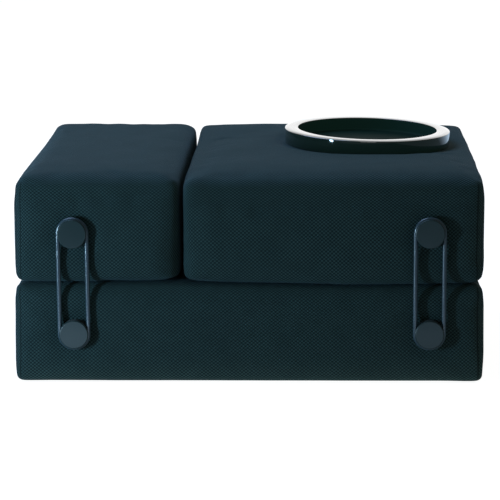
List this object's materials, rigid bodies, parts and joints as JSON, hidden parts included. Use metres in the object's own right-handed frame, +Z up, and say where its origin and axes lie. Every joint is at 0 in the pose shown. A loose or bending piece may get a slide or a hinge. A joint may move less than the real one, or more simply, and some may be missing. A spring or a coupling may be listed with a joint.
{
  "type": "chair bed",
  "caption": "Pouf of foam cushions held by elastic bands round turning hubs, which unfolds sideways into a low bed, with a round tray lying on top.",
  "frame": {"origin": "middle of the footprint, on the floor under the base cushion", "axes": "+X to the right along the width, -Y towards the front, +Z up"},
  "size_m": [1.0298, 0.811, 0.5019],
  "materials": {
    "cover_fabric": "dark slate blue-green mesh knit, matt with a faint sheen",
    "foam": "open-cell polyurethane foam",
    "axle_steel": "zinc-plated steel",
    "hub_plastic": "moulded plastic, matt, coloured as the cover",
    "cap_plastic": "moulded plastic, satin, coloured as the cover",
    "band_rubber": "smooth elastic rubber cord",
    "tray_plastic": "glossy black moulded plastic"
  },
  "bodies": {
    "base": {"base_cover": "cover_fabric", "base_foam": "foam", "left_lower_axles": "axle_steel", "right_lower_axles": "axle_steel"},
    "left_cushion": {"left_cover": "cover_fabric", "left_foam": "foam", "left_upper_axles": "axle_steel"},
    "right_cushion": {"right_cover": "cover_fabric", "right_foam": "foam", "right_upper_axles": "axle_steel"},
    "tray": {"tray": "tray_plastic"},
    "left_lower_hub_pair": {"left_lower_hubs": "hub_plastic", "left_lower_caps": "cap_plastic", "left_bands": "band_rubber"},
    "left_upper_hub_pair": {"left_upper_hubs": "hub_plastic", "left_upper_caps": "cap_plastic"},
    "right_lower_hub_pair": {"right_lower_hubs": "hub_plastic", "right_lower_caps": "cap_plastic", "right_bands": "band_rubber"},
    "right_upper_hub_pair": {"right_upper_hubs": "hub_plastic", "right_upper_caps": "cap_plastic"}
  },
  "joints": [
    {"name": "left_fold", "type": "hinge", "parent": "base", "child": "left_cushion", "pos_m": [-0.515, 0, 0.225], "axis": [0, -1, 0], "range_deg": [0, 180], "deforming": ["left_bands"]},
    {"name": "left_lower_turn", "type": "hinge", "parent": "base", "child": "left_lower_hub_pair", "pos_m": [-0.382, 0, 0.113], "axis": [0, -1, 0], "range_deg": [0, 90]},
    {"name": "left_upper_turn", "type": "hinge", "parent": "left_cushion", "child": "left_upper_hub_pair", "pos_m": [-0.382, 0, 0.337], "axis": [0, -1, 0], "range_deg": [-90, 0]},
    {"name": "right_fold", "type": "hinge", "parent": "base", "child": "right_cushion", "pos_m": [0.515, 0, 0.225], "axis": [0, 1, 0], "range_deg": [0, 180], "deforming": ["right_bands"]},
    {"name": "right_lower_turn", "type": "hinge", "parent": "base", "child": "right_lower_hub_pair", "pos_m": [0.396, 0, 0.113], "axis": [0, 1, 0], "range_deg": [0, 90]},
    {"name": "right_upper_turn", "type": "hinge", "parent": "right_cushion", "child": "right_upper_hub_pair", "pos_m": [0.396, 0, 0.337], "axis": [0, 1, 0], "range_deg": [-90, 0]},
    {"name": "tray_lift", "type": "slide", "parent": "right_cushion", "child": "tray", "axis": [0.0262, -0.0087, 0.9996], "range_m": [0, 0.15]}
  ],
  "couplings": [
    {"joint": "left_lower_turn", "follows": "left_fold", "ratio": 0.5},
    {"joint": "left_upper_turn", "follows": "left_fold", "ratio": -0.5},
    {"joint": "right_lower_turn", "follows": "right_fold", "ratio": 0.5},
    {"joint": "right_upper_turn", "follows": "right_fold", "ratio": -0.5}
  ]
}
